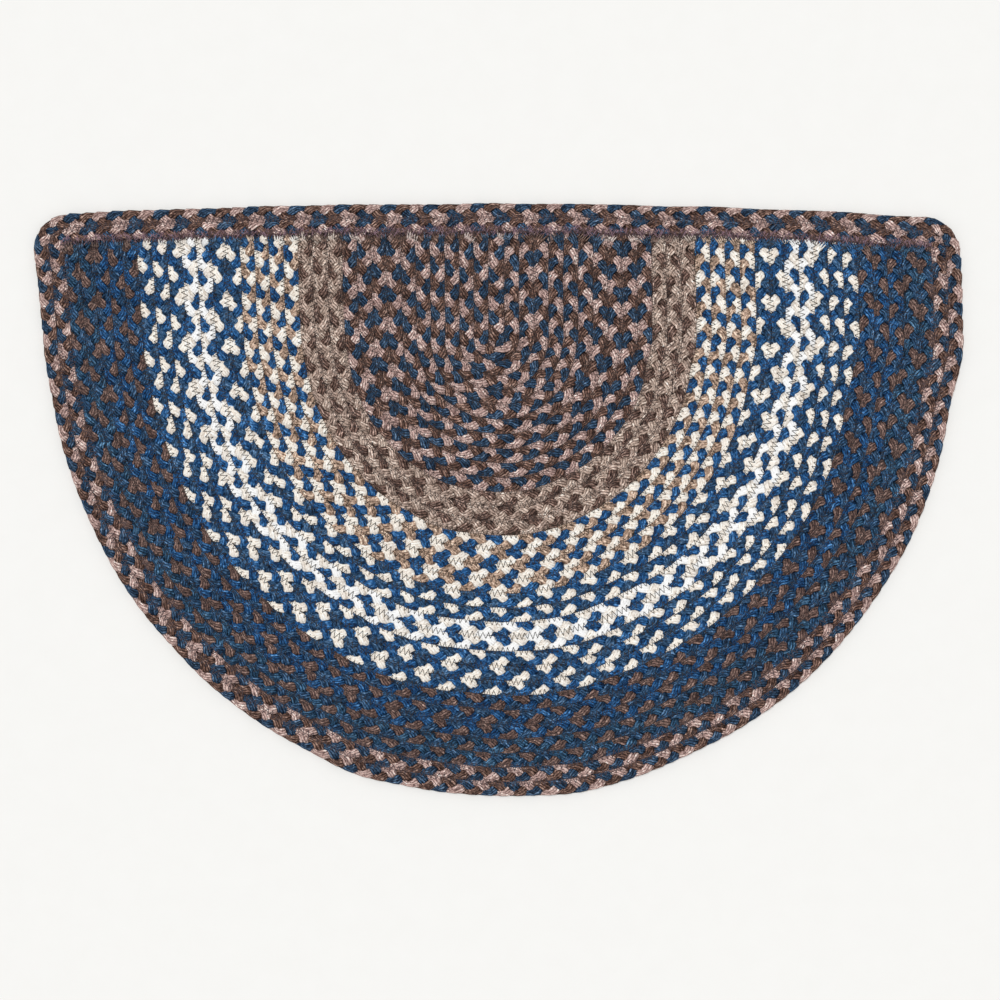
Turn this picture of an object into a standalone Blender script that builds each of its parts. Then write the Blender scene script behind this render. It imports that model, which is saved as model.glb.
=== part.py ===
"""A half-round braided jute mat, lying flat.

A three-strand braid is wound around a straight middle braid in nested U-shaped rows.
The rows end at one straight cut, and two more braids run right round the mat: along the
cut, round the corners and along the outermost row. Metres, +Z up. X runs along the
straight side, +Y points to it, and the origin is under the middle of the mat's box.
"""

import math
from collections import namedtuple

import bmesh
import bpy

# Driving dimensions, in metres
ROW_COUNT = 29              # U-shaped rows between the middle braid and the edge braids
EDGE_COUNT = 2              # braids that run right round the mat
BRAID_HEIGHT = 0.0075
BRAID_GAP = 0.0003          # clearance between neighbouring braids
MIDDLE_HALF_WIDTH = 0.0064  # half the width of the middle braid
END_GAP = 0.00045           # clearance between the cut ends and the braid over them

TURN_TO_TOP = 0.1073        # from the centre of the turns up to the straight side's middle
TOP_BRAID_PITCH = 0.0109    # spacing of the edge braids along the straight side
TOP_DROP_LEFT = 0.0080      # how much lower the straight side is at TOP_DROP_AT
TOP_DROP_RIGHT = 0.0111
TOP_DROP_AT = 0.342
CORNER_RADII = (0.0005, 0.0145, 0.0290)  # inside, between and outside the edge braids

TURN_SEGMENTS = 30
CORNER_SEGMENTS = 5
TOP_SEGMENTS = 8
MIDDLE_END_ANGLES = (0, 35, 65, 82)      # degrees round the end of the middle braid

# How far the mat's edge lies from the centre of the turns: 0 degrees points right, 90 down
# and 180 left. Above the centre the legs run straight up to the cut.
EdgeReach = namedtuple("EdgeReach", "angle_deg reach")
EDGE_REACHES = (
    EdgeReach(0, 0.3710),
    EdgeReach(9, 0.3636),
    EdgeReach(24, 0.3652),
    EdgeReach(39, 0.3643),
    EdgeReach(51, 0.3650),
    EdgeReach(63, 0.3633),
    EdgeReach(76, 0.3656),
    EdgeReach(96, 0.3618),
    EdgeReach(106, 0.3627),
    EdgeReach(121, 0.3577),
    EdgeReach(138, 0.3548),
    EdgeReach(158, 0.3536),
    EdgeReach(170, 0.3549),
    EdgeReach(180, 0.3596),
)
CUT_REACH_RIGHT = 0.3680
CUT_REACH_LEFT = 0.3670

# The flattened oval of one braid: place across its width and over its height, 0 to 1
SectionPoint = namedtuple("SectionPoint", "across up")
SECTION = (
    SectionPoint(0.14, 0.0),
    SectionPoint(0.86, 0.0),
    SectionPoint(1.00, 0.46),
    SectionPoint(0.80, 1.0),
    SectionPoint(0.20, 1.0),
    SectionPoint(0.00, 0.46),
)

# Colours of the rows, from the middle outwards: last row of each zone and its main colour
Zone = namedtuple("Zone", "last_row name rgb")
ZONES = (
    Zone(10, "jute_dusty_pink", (0.29, 0.20, 0.19)),
    Zone(13, "jute_taupe", (0.16, 0.11, 0.09)),
    Zone(17, "jute_cream_and_blue", (0.42, 0.38, 0.33)),
    Zone(19, "jute_cream", (0.55, 0.52, 0.48)),
    Zone(21, "jute_white", (0.80, 0.80, 0.78)),
    Zone(24, "jute_cream", (0.55, 0.52, 0.48)),
    Zone(27, "jute_bright_blue", (0.04, 0.10, 0.28)),
    Zone(29, "jute_navy", (0.03, 0.06, 0.11)),
    Zone(31, "jute_edge", (0.22, 0.15, 0.14)),
)
JUTE_ROUGHNESS = 0.95


def edge_reach(angle_deg):
    """Distance from the centre of the turns to the mat's edge, eased between the stations."""
    for near, far in zip(EDGE_REACHES, EDGE_REACHES[1:]):
        if angle_deg <= far.angle_deg:
            share = (angle_deg - near.angle_deg) / (far.angle_deg - near.angle_deg)
            eased = share * share * (3 - 2 * share)
            return near.reach + (far.reach - near.reach) * eased
    return EDGE_REACHES[-1].reach


def seam_reach(edge_distance, seam, inset):
    """Distance of a seam from the centre: seam 0 is the middle braid's side, the last the edge."""
    share = seam / (ROW_COUNT + EDGE_COUNT)
    return MIDDLE_HALF_WIDTH + (edge_distance - MIDDLE_HALF_WIDTH) * share + inset


def top_height(x):
    """Height of the straight side above the centre of the turns; it bows down to both ends."""
    drop = TOP_DROP_LEFT if x < 0 else TOP_DROP_RIGHT
    return TURN_TO_TOP - drop * (x / TOP_DROP_AT) ** 2


def cut_height(x):
    """Height at which the rows are cut, just under the edge braids."""
    return top_height(x) - EDGE_COUNT * TOP_BRAID_PITCH - END_GAP


def turn_seam(seam, inset):
    """Points of a seam round its turn, from the left leg to the right one."""
    points = []
    for step in range(TURN_SEGMENTS + 1):
        angle_deg = 180 - 180 * step / TURN_SEGMENTS
        reach = seam_reach(edge_reach(angle_deg), seam, inset)
        angle = math.radians(angle_deg)
        points.append((reach * math.cos(angle), -reach * math.sin(angle)))
    return points


def row_seam(seam, inset):
    """Points of a U-shaped seam, from its left cut end round to its right one."""
    left = -seam_reach(CUT_REACH_LEFT, seam, inset)
    right = seam_reach(CUT_REACH_RIGHT, seam, inset)
    return [(left, cut_height(left))] + turn_seam(seam, inset) + [(right, cut_height(right))]


def edge_seam(level, inset):
    """Points of a closed seam along the edge braids: level 0 lies inside them, 2 outside."""
    radius = CORNER_RADII[level] + inset
    lowered = (EDGE_COUNT - level) * TOP_BRAID_PITCH - inset
    left = -seam_reach(CUT_REACH_LEFT, ROW_COUNT + level, inset) + radius
    right = seam_reach(CUT_REACH_RIGHT, ROW_COUNT + level, inset) - radius
    points = turn_seam(ROW_COUNT + level, inset)
    for step in range(CORNER_SEGMENTS + 1):
        angle = math.pi / 2 * step / CORNER_SEGMENTS
        centre_y = top_height(right) - lowered - radius
        points.append((right + radius * math.cos(angle), centre_y + radius * math.sin(angle)))
    for step in range(1, TOP_SEGMENTS):
        x = right + (left - right) * step / TOP_SEGMENTS
        points.append((x, top_height(x) - lowered))
    for step in range(CORNER_SEGMENTS + 1):
        angle = math.pi / 2 * (1 + step / CORNER_SEGMENTS)
        centre_y = top_height(left) - lowered - radius
        points.append((left + radius * math.cos(angle), centre_y + radius * math.sin(angle)))
    return points


def middle_seam(side, inset):
    """Points of one side of the middle braid, from the cut down and round to its closed end."""
    half_width = MIDDLE_HALF_WIDTH + inset
    points = [(side * half_width, cut_height(0))]
    for angle_deg in MIDDLE_END_ANGLES:
        angle = math.radians(angle_deg)
        points.append((side * half_width * math.cos(angle), -half_width * math.sin(angle)))
    return points


def box_middle(points):
    """Middle of the box around a list of points."""
    xs = [x for x, _ in points]
    ys = [y for _, y in points]
    return (min(xs) + max(xs)) / 2, (min(ys) + max(ys)) / 2


def add_braid(mat, name, inner, outer, closed, material):
    """A solid braid swept between its inner and its outer seam, as a child of the mat."""
    mesh = bpy.data.meshes.new(name)
    bm = bmesh.new()
    loops = []
    for (inner_x, inner_y), (outer_x, outer_y) in zip(inner, outer):
        verts = []
        for point in SECTION:
            x = inner_x + (outer_x - inner_x) * point.across
            y = inner_y + (outer_y - inner_y) * point.across
            verts.append(bm.verts.new((x, y, BRAID_HEIGHT * point.up)))
        loops.append([bm.edges.new((a, b)) for a, b in zip(verts, verts[1:] + verts[:1])])
    for near, far in zip(loops, loops[1:]):
        bmesh.ops.bridge_loops(bm, edges=near + far)
    if closed:
        bmesh.ops.bridge_loops(bm, edges=loops[-1] + loops[0])
    else:
        for end in (loops[0], loops[-1]):
            bmesh.ops.contextual_create(bm, geom=end)
    bmesh.ops.recalc_face_normals(bm, faces=bm.faces)
    bm.to_mesh(mesh)
    bm.free()
    mesh.materials.append(material)
    braid = bpy.data.objects.new(name, mesh)
    braid.parent = mat
    bpy.context.collection.objects.link(braid)


def jute_material(zone):
    """Matt dyed jute in the zone's main colour, made once for each zone name."""
    if zone.name in bpy.data.materials:
        return bpy.data.materials[zone.name]
    material = bpy.data.materials.new(zone.name)
    material.use_nodes = True
    shader = material.node_tree.nodes["Principled BSDF"]
    shader.inputs["Base Color"].default_value = (*zone.rgb, 1.0)
    shader.inputs["Roughness"].default_value = JUTE_ROUGHNESS
    shader.inputs["Metallic"].default_value = 0.0
    return material


def material_of_row(row):
    """Material of the zone that a row lies in."""
    return jute_material(next(zone for zone in ZONES if row <= zone.last_row))


def build_mat():
    """All the braids of the mat, on an empty at the centre of their turns."""
    near = BRAID_GAP / 2
    middle_x, middle_y = box_middle(edge_seam(EDGE_COUNT, -near))
    mat = bpy.data.objects.new("centre_of_turns", None)
    mat.location = (-middle_x, -middle_y, 0)
    bpy.context.collection.objects.link(mat)

    sides = middle_seam(-1, -near), middle_seam(1, -near)
    add_braid(mat, "braid_middle", *sides, False, material_of_row(0))
    for row in range(1, ROW_COUNT + 1):
        seams = row_seam(row - 1, near), row_seam(row, -near)
        add_braid(mat, f"braid_row_{row:02d}", *seams, False, material_of_row(row))
    for level, name in enumerate(("braid_edge_inner", "braid_edge_outer")):
        seams = edge_seam(level, near), edge_seam(level + 1, -near)
        add_braid(mat, name, *seams, True, material_of_row(ROW_COUNT + 1 + level))


for old in list(bpy.data.objects):
    bpy.data.objects.remove(old)

build_mat()
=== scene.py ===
"""Looks of a half-round braided jute doormat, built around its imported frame.

A three-strand braid of dyed jute is wound in nested U-shaped rows and sewn edge to edge with a
zigzag stitch. The rows are cut straight across, and two more braids run right round the mat over
their frayed ends. Metres, +Z up, X along the straight side and +Y towards it. Every braid keeps
the lane that its solid in the frame has.
"""

from __future__ import annotations

import logging
import math
from dataclasses import dataclass, field
from enum import Enum
from typing import NamedTuple

import bpy
import numpy as np
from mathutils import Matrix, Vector
from mathutils.bvhtree import BVHTree

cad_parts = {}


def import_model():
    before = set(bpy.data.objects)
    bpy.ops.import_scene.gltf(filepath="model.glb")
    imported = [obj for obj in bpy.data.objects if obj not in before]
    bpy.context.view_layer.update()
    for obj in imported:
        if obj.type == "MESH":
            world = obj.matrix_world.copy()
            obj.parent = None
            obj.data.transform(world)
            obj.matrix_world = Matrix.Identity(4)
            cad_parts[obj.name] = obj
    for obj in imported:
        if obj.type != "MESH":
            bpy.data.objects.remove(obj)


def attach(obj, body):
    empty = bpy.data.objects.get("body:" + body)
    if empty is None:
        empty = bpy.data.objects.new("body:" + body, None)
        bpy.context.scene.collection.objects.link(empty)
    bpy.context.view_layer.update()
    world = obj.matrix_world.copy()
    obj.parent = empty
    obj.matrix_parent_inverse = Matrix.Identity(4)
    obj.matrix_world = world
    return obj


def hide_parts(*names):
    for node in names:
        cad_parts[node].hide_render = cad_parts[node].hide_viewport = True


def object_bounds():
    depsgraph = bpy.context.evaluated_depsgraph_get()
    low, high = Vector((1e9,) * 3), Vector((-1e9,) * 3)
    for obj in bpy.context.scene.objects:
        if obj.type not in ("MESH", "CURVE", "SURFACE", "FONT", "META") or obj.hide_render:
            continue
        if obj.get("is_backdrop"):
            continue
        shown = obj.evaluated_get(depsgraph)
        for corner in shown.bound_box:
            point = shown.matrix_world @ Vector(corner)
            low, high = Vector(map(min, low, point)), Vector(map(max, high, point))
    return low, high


log = logging.getLogger("doormat")

TURN = 2.0 * math.pi
UP = np.array((0.0, 0.0, 1.0))
SLIVER = 1e-9        # keeps a direction from having no length
STRANDS = 3          # strands in a braid
MAP_SCALE = 100.0    # the yarn map's lengths are in centimetres
FRAYED_MARK = 0.3    # added to a strand's number on its frayed ends, which show the pale core
STITCH_ON_MAP = 0.006  # length on the yarn map of every stitch
MAX_ALBEDO = 0.97    # the palest that jute can be


# ------------------------------------------------------------------ the mat's lanes


class EdgeReach(NamedTuple):
    """How far the mat's edge lies from the centre of the turns, at an angle below the right."""

    angle_deg: float
    reach: float


class EndStyle(Enum):
    """How a braid ends."""

    FRAYED = "severed at the straight side, its yarns splayed"
    TUCKED = "turned under at the heart of the mat"
    JOINED = "running round into its own start"


class Place(Enum):
    """Named places that a braid passes on its way."""

    BOTTOM = "the lowest point of its turn, where its pattern is counted from"
    RIGHT_LEG = "where its turn ends and the right leg begins"
    RIGHT_CORNER = "where it leaves the right leg for the top"
    TOP_RIGHT = "where it starts along the top"
    TOP_LEFT = "where it ends along the top"


def unit(vectors: np.ndarray) -> np.ndarray:
    """Vectors scaled to length one."""
    return vectors / np.linalg.norm(vectors, axis=1)[:, None]


def between(first: float, last: float, share: np.ndarray) -> np.ndarray:
    """Sizes that lie a share of the way from the first to the last."""
    return first + (last - first) * share


def lengths_along(points: np.ndarray) -> np.ndarray:
    """Length along a path up to each of its points."""
    return np.concatenate([[0.0], np.cumsum(np.linalg.norm(np.diff(points, axis=0), axis=1))])


def points_at(along: np.ndarray, travelled: np.ndarray, points: np.ndarray) -> np.ndarray:
    """Points at lengths along a flat path, given the length up to each of its own points."""
    return np.column_stack([np.interp(along, travelled, points[:, axis]) for axis in (0, 1)])


@dataclass(frozen=True)
class Lane:
    """The strip of the mat that one braid fills.

    Attributes:
        inner: Points along its inner side, in the order the braid travels.
        outer: The matching points along its outer side.
        places: Numbers of the points at its named places.
        start: How the braid starts.
        end: How it ends.
    """

    inner: np.ndarray
    outer: np.ndarray
    places: dict[Place, int]
    start: EndStyle
    end: EndStyle

    @property
    def joined(self) -> bool:
        """Whether the lane closes on itself."""
        return self.end is EndStyle.JOINED

    def rails(self) -> tuple[np.ndarray, np.ndarray]:
        """Makes both sides of the lane whole.

        Returns:
            Inner and outer points, with the first repeated at the end of a closed lane.
        """
        if self.joined:
            return np.vstack([self.inner, self.inner[:1]]), np.vstack([self.outer, self.outer[:1]])
        return self.inner, self.outer

    def travelled(self) -> np.ndarray:
        """Measures the lane.

        Returns:
            Length along its middle up to each of its points.
        """
        inner, outer = self.rails()
        return lengths_along((inner + outer) / 2)

    def at(self, along: np.ndarray) -> tuple[np.ndarray, np.ndarray]:
        """Middle of the lane and the vector to its outer side, at lengths along it.

        Args:
            along: Lengths from the lane's start.

        Returns:
            Middle points and half-width vectors, one row for each length.
        """
        travelled = self.travelled()
        near, far = (points_at(along, travelled, side) for side in self.rails())
        return (near + far) / 2, (far - near) / 2


@dataclass(frozen=True)
class MatOutline:
    """The seams of the mat, measured from the centre of its turns.

    Angles run from 0 degrees at the right, over 90 at the bottom, to 180 at the left. Above the
    centre the rows' legs run straight up to the cut.

    Attributes:
        row_count: U-shaped rows between the middle braid and the edge braids.
        edge_count: Braids that run right round the mat.
        middle_half_width: Half the width of the middle braid.
        end_gap: Clearance between the cut ends and the braid over them.
        turn_to_top: From the centre up to the middle of the straight side.
        top_braid_pitch: Spacing of the edge braids along the straight side.
        top_drop_left: How much lower the straight side is at top_drop_at, on the left.
        top_drop_right: The same on the right.
        top_drop_at: How far from the middle both drops are measured.
        corner_radii: Radii inside, between and outside the edge braids.
        cut_reach_right: How far the mat's edge lies from the middle at the cut, on the right.
        cut_reach_left: The same on the left.
        tuck_deg: How far the middle braid's end bends round.
        turn_steps: Steps of a seam round its turn, as corner_steps, top_steps and leg_steps are
            elsewhere, and middle_steps and tuck_steps along the middle braid.
        edge_reaches: How far the mat's edge lies from the centre.
    """

    row_count: int = 29
    edge_count: int = 2
    middle_half_width: float = 0.0064
    end_gap: float = 0.00045
    turn_to_top: float = 0.1073
    top_braid_pitch: float = 0.0109
    top_drop_left: float = 0.0080
    top_drop_right: float = 0.0111
    top_drop_at: float = 0.342
    corner_radii: tuple[float, ...] = (0.0005, 0.0145, 0.0290)
    cut_reach_right: float = 0.3680
    cut_reach_left: float = 0.3670
    tuck_deg: float = 76.0
    turn_steps: int = 120
    corner_steps: int = 12
    top_steps: int = 40
    leg_steps: int = 6
    middle_steps: int = 11
    tuck_steps: int = 8
    edge_reaches: tuple[EdgeReach, ...] = (
        EdgeReach(0, 0.3710),
        EdgeReach(9, 0.3636),
        EdgeReach(24, 0.3652),
        EdgeReach(39, 0.3643),
        EdgeReach(51, 0.3650),
        EdgeReach(63, 0.3633),
        EdgeReach(76, 0.3656),
        EdgeReach(96, 0.3618),
        EdgeReach(106, 0.3627),
        EdgeReach(121, 0.3577),
        EdgeReach(138, 0.3548),
        EdgeReach(158, 0.3536),
        EdgeReach(170, 0.3549),
        EdgeReach(180, 0.3596),
    )

    def edge_reach(self, angles_deg: np.ndarray) -> np.ndarray:
        """Distance of the mat's edge from the centre, eased between the stations.

        Args:
            angles_deg: Angles below the right.

        Returns:
            The distance at each angle.
        """
        angles = np.array([station.angle_deg for station in self.edge_reaches])
        reaches = np.array([station.reach for station in self.edge_reaches])
        near = np.clip(np.searchsorted(angles, angles_deg, side="right") - 1, 0, len(angles) - 2)
        share = (angles_deg - angles[near]) / (angles[near + 1] - angles[near])
        eased = share * share * (3 - 2 * share)
        return reaches[near] + (reaches[near + 1] - reaches[near]) * eased

    def seam_reach(self, edge_distance: np.ndarray | float, seam: float) -> np.ndarray | float:
        """Distance of a seam: 0 is the middle braid's side, and the last one the mat's edge."""
        share = seam / (self.row_count + self.edge_count)
        return self.middle_half_width + (edge_distance - self.middle_half_width) * share

    def top_height(self, x: np.ndarray | float) -> np.ndarray | float:
        """Height of the straight side above the centre; it bows down to both ends."""
        drop = np.where(np.asarray(x) < 0, self.top_drop_left, self.top_drop_right)
        return self.turn_to_top - drop * (np.asarray(x) / self.top_drop_at) ** 2

    def cut_height(self, x: np.ndarray | float) -> np.ndarray | float:
        """Height at which the rows are cut, just under the edge braids."""
        return self.top_height(x) - self.edge_count * self.top_braid_pitch - self.end_gap

    def turn_seam(self, seam: float) -> np.ndarray:
        """Draws a seam round its turn.

        Args:
            seam: Number of the seam, counted outwards from the middle braid's side.

        Returns:
            Its points, from the left leg to the right one.
        """
        angles_deg = np.linspace(180.0, 0.0, self.turn_steps + 1)
        reach = self.seam_reach(self.edge_reach(angles_deg), seam)
        angles = np.radians(angles_deg)
        return np.column_stack([reach * np.cos(angles), -reach * np.sin(angles)])

    def row_seam(self, seam: float) -> np.ndarray:
        """Draws a U-shaped seam.

        Args:
            seam: Number of the seam.

        Returns:
            Its points, from its left cut end round to its right one.
        """
        left = -self.seam_reach(self.cut_reach_left, seam)
        right = self.seam_reach(self.cut_reach_right, seam)
        turn = self.turn_seam(seam)
        down = np.linspace((left, self.cut_height(left)), turn[0], self.leg_steps + 1)[:-1]
        up = np.linspace(turn[-1], (right, self.cut_height(right)), self.leg_steps + 1)[1:]
        return np.vstack([down, turn, up])

    def edge_seam(self, level: int) -> np.ndarray:
        """Draws a closed seam along the edge braids.

        Args:
            level: 0 for the seam inside both braids, 1 between them and 2 outside.

        Returns:
            Its points, from the top of the left leg down, round and back along the top.
        """
        radius = self.corner_radii[level]
        lowered = (self.edge_count - level) * self.top_braid_pitch
        seam = self.row_count + level
        left = -self.seam_reach(self.cut_reach_left, seam) + radius
        right = self.seam_reach(self.cut_reach_right, seam) - radius
        quarter = np.linspace(0.0, math.pi / 2, self.corner_steps + 1)
        corners = []
        for x, angles in ((right, quarter), (left, quarter + math.pi / 2)):
            y = self.top_height(x) - lowered - radius
            corners.append(np.column_stack([x + radius * np.cos(angles), y + radius * np.sin(angles)]))
        xs = np.linspace(right, left, self.top_steps + 1)[1:-1]
        top = np.column_stack([xs, self.top_height(xs) - lowered])
        turn = self.turn_seam(seam)
        up = np.linspace(turn[-1], corners[0][0], self.leg_steps + 1)[1:-1]
        down = np.linspace(corners[1][-1], turn[0], self.leg_steps + 1)[1:-1]
        return np.vstack([turn, up, corners[0], top, corners[1], down])

    def middle_lane(self) -> Lane:
        """Draws the straight braid that the winding starts from.

        Returns:
            Its lane, from the cut down to the end that is tucked under.
        """
        sides = []
        angles = np.radians(np.linspace(0.0, self.tuck_deg, self.tuck_steps + 1))
        for side in (1, -1):
            half = side * self.middle_half_width
            top = half, float(self.cut_height(0.0))
            leg = np.linspace(top, (half, 0.0), self.middle_steps + 1)[:-1]
            bend = np.column_stack([half * np.cos(angles), -abs(half) * np.sin(angles)])
            sides.append(np.vstack([leg, bend]))
        return Lane(sides[0], sides[1], {Place.BOTTOM: 0}, EndStyle.FRAYED, EndStyle.TUCKED)

    def row_lane(self, row: int) -> Lane:
        """Draws a U-shaped row.

        Args:
            row: Its number, counted outwards from 1.

        Returns:
            Its lane, from its left cut end to its right one.
        """
        places = {
            Place.BOTTOM: self.leg_steps + self.turn_steps // 2,
            Place.RIGHT_LEG: self.leg_steps + self.turn_steps,
        }
        seams = self.row_seam(row - 1), self.row_seam(row)
        return Lane(*seams, places, EndStyle.FRAYED, EndStyle.FRAYED)

    def edge_lane(self, level: int) -> Lane:
        """Draws one of the two braids that run right round.

        Args:
            level: 0 for the inner one, 1 for the outer one.

        Returns:
            Its closed lane.
        """
        corner = self.turn_steps + self.leg_steps
        places = {
            Place.BOTTOM: self.turn_steps // 2,
            Place.RIGHT_LEG: self.turn_steps,
            Place.RIGHT_CORNER: corner,
            Place.TOP_RIGHT: corner + self.corner_steps,
            Place.TOP_LEFT: corner + self.corner_steps + self.top_steps,
        }
        seams = self.edge_seam(level), self.edge_seam(level + 1)
        return Lane(*seams, places, EndStyle.JOINED, EndStyle.JOINED)

    def middle_of_box(self) -> np.ndarray:
        """Middle of the box around the mat's edge, from the centre of the turns."""
        edge = self.edge_seam(self.edge_count)
        return (edge.min(axis=0) + edge.max(axis=0)) / 2


# ------------------------------------------------------------------ unevenness by hand


class Drift(NamedTuple):
    """A slow unevenness along a braid: how many periods one swing takes, and how large it is."""

    periods: float
    size: float


@dataclass
class HandFeel:
    """Slow, seeded drifts that keep a braid from looking machine-made.

    Attributes:
        seed: Seed of the draws.
        shares: Swings of the three waves in a drift, over its own.
        draw: The draws.
    """

    seed: int
    shares: tuple[float, ...] = (0.55, 1.0, 1.7)
    draw: np.random.Generator = field(init=False)

    def __post_init__(self) -> None:
        """Starts the draws from the seed."""
        self.draw = np.random.default_rng(self.seed)

    def wander(self, drift: Drift, along: np.ndarray, length: float, period: float) -> np.ndarray:
        """A smooth wander along a braid that meets itself after its whole length.

        Args:
            drift: How slow and how large it is.
            along: Lengths along the braid.
            length: The braid's whole length.
            period: Length of one full turn of the braid.

        Returns:
            The wander at each length.
        """
        total = np.zeros_like(along)
        for share in self.shares:
            cycles = max(1, round(length / (period * drift.periods) * share))
            total += np.sin(TURN * (cycles * along / length + self.draw.random()))
        return drift.size * total / len(self.shares) ** 0.5


@dataclass(frozen=True)
class Waviness:
    """Slow sideways waves that the whole mat has, so that no row runs perfectly true.

    Attributes:
        size: How far they take it aside.
        seed: Seed of their headings and lengths.
        waves: How many there are along X, and as many along Y.
        shortest: Length of the shortest.
        longest: Length of the longest.
    """

    size: float = 0.0004
    seed: int = 41
    waves: int = 7
    shortest: float = 0.05
    longest: float = 0.16

    def shift(self, points: np.ndarray) -> np.ndarray:
        """Sideways move of each point.

        Args:
            points: Points of the mat, one row each.

        Returns:
            The points, moved in X and Y.
        """
        draw = np.random.default_rng(self.seed)
        moved = points.copy()
        for axis in (0, 1):
            for _ in range(self.waves):
                heading = draw.uniform(0, TURN)
                turns_per_metre = TURN / draw.uniform(self.shortest, self.longest)
                across = points[:, 0] * math.cos(heading) + points[:, 1] * math.sin(heading)
                wave = np.sin(turns_per_metre * across + draw.uniform(0, TURN))
                moved[:, axis] += self.size / self.waves**0.5 * wave
        return moved


# ------------------------------------------------------------------ mesh building


@dataclass
class Workpiece:
    """Collects tubes into one mesh with a yarn map and each strand's number.

    The yarn map holds the length along a strand, in centimetres, and the way round it, 0 to 1.
    """

    verts: list[np.ndarray] = field(default_factory=list)
    faces: list[list[int]] = field(default_factory=list)
    corners: list[np.ndarray] = field(default_factory=list)
    strands: list[np.ndarray] = field(default_factory=list)
    count: int = 0

    def add_tube(self, rings: np.ndarray, along: np.ndarray, strand: float, joined: bool) -> None:
        """Adds a tube through rings of points, capped unless it joins itself.

        Args:
            rings: Points by ring and place round it. Facing along the tube, they go round from
                the right over the top.
            along: Length along the strand at each ring.
            strand: Number of the strand, for its dye.
            joined: Whether the last ring meets the first.
        """
        ring_count, sides, _ = rings.shape
        numbers = self.count + np.arange(ring_count * sides).reshape(ring_count, sides)
        near = numbers if joined else numbers[:-1]
        far = np.roll(numbers, -1, axis=0) if joined else numbers[1:]
        quads = np.stack([near, far, np.roll(far, -1, axis=1), np.roll(near, -1, axis=1)], axis=2)
        u = along * MAP_SCALE
        step = u[-1] - u[-2]
        u_near = u if joined else u[:-1]
        u_far = np.append(u[1:], u[-1] + step) if joined else u[1:]
        v_near = np.arange(sides) / sides
        v_far = v_near + 1.0 / sides
        grid = np.empty(quads.shape + (2,))
        grid[..., 0] = np.stack([u_near, u_far, u_far, u_near], axis=1)[:, None, :]
        grid[..., 1] = np.stack([v_near, v_near, v_far, v_far], axis=1)[None, :, :]
        self.verts.append(rings.reshape(-1, 3))
        self.faces.extend(quads.reshape(-1, 4).tolist())
        self.corners.append(grid.reshape(-1, 2))
        if not joined:
            for ring, place, backwards in ((0, u[0], False), (-1, u[-1], True)):
                cap = numbers[ring][::-1] if backwards else numbers[ring]
                around = v_near[::-1] if backwards else v_near
                self.faces.append(cap.tolist())
                self.corners.append(np.column_stack([np.full(sides, place), around]))
        self.strands.append(np.full(ring_count * sides, strand))
        self.count += ring_count * sides

    def finish(self, name: str, material: bpy.types.Material) -> bpy.types.Object:
        """Makes the mesh object, smooth, with its map, attribute and material.

        Args:
            name: Name of the piece.
            material: Its finish.

        Returns:
            The new object, at the origin.
        """
        mesh = bpy.data.meshes.new(name)
        mesh.from_pydata(np.vstack(self.verts).tolist(), [], self.faces)
        mesh.polygons.foreach_set("use_smooth", [True] * len(mesh.polygons))
        yarn_map = mesh.uv_layers.new(name="Yarn")
        yarn_map.data.foreach_set("uv", np.vstack(self.corners).astype(np.float32).ravel())
        strand = mesh.attributes.new("strand", "FLOAT", "POINT")
        strand.data.foreach_set("value", np.concatenate(self.strands).astype(np.float32))
        mesh.materials.append(material)
        mesh.update()
        piece = bpy.data.objects.new(name, mesh)
        bpy.context.scene.collection.objects.link(piece)
        return piece


def round_tube(points: np.ndarray, radii: np.ndarray, sides: int) -> np.ndarray:
    """Rings of a plain round tube along a short open path.

    Args:
        points: Points of the path, one row each.
        radii: Radius at each point.
        sides: Number of points round each ring.

    Returns:
        Points by ring and place round it.
    """
    along = unit(np.gradient(points, axis=0))
    right = unit(np.cross(along, UP) + SLIVER)
    up = np.cross(right, along)
    # turned by a quarter of a step, which gives a three-sided thread a flat top
    angles = (TURN * (np.arange(sides) + 0.25) / sides)[None, :, None]
    spokes = right[:, None] * np.cos(angles) + up[:, None] * np.sin(angles)
    return points[:, None] + spokes * radii[:, None, None]


# ------------------------------------------------------------------ braids


@dataclass(frozen=True)
class StrandSection:
    """Section of a strand: four yarns side by side on top and two below.

    Points go round from the outer side over the top, a groove and a crown in turn.

    Attributes:
        groove_depth: How deep a groove is cut, over the height there.
        crown_rise: How far a yarn's crown stands out.
        fullness: How square the shoulders are; 2 makes them round.
        top_points: Points from side to side over the top, an odd number.
        under: Places across and over of the points below, from the inner side.
    """

    groove_depth: float = 0.22
    crown_rise: float = 0.05
    fullness: float = 3.0
    top_points: int = 9
    under: tuple[tuple[float, float], ...] = ((-0.64, -0.86), (0.0, -0.70), (0.64, -0.86))

    @property
    def yarns(self) -> int:
        """How many yarns the section has round it."""
        return (self.top_points + len(self.under)) // 2

    def points(self) -> np.ndarray:
        """Works the section out.

        Returns:
            Place across and over each of its points, about -1 to 1.
        """
        across = np.linspace(1.0, -1.0, self.top_points)
        over = (1.0 - np.abs(across) ** self.fullness) ** (1.0 / self.fullness)
        crown = np.arange(self.top_points) % 2 == 1
        over = np.where(crown, over + self.crown_rise, over * (1.0 - self.groove_depth))
        return np.vstack([np.column_stack([across, over]), np.array(self.under)])


class BraidRings(NamedTuple):
    """Where a braid's rings lie, the same for its three strands.

    Attributes:
        along: Length along the lane at each ring.
        length: The lane's whole length.
        period: Length of one full turn of the braid.
        passed: Periods since the first strand showed on the outer half, at each ring.
        middle: Middle of the lane at each.
        outward: Direction across the lane at each, to its outer side.
        pitch: Width of the lane at each, over its usual width.
    """

    along: np.ndarray
    length: float
    period: float
    passed: np.ndarray
    middle: np.ndarray
    outward: np.ndarray
    pitch: np.ndarray


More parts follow.
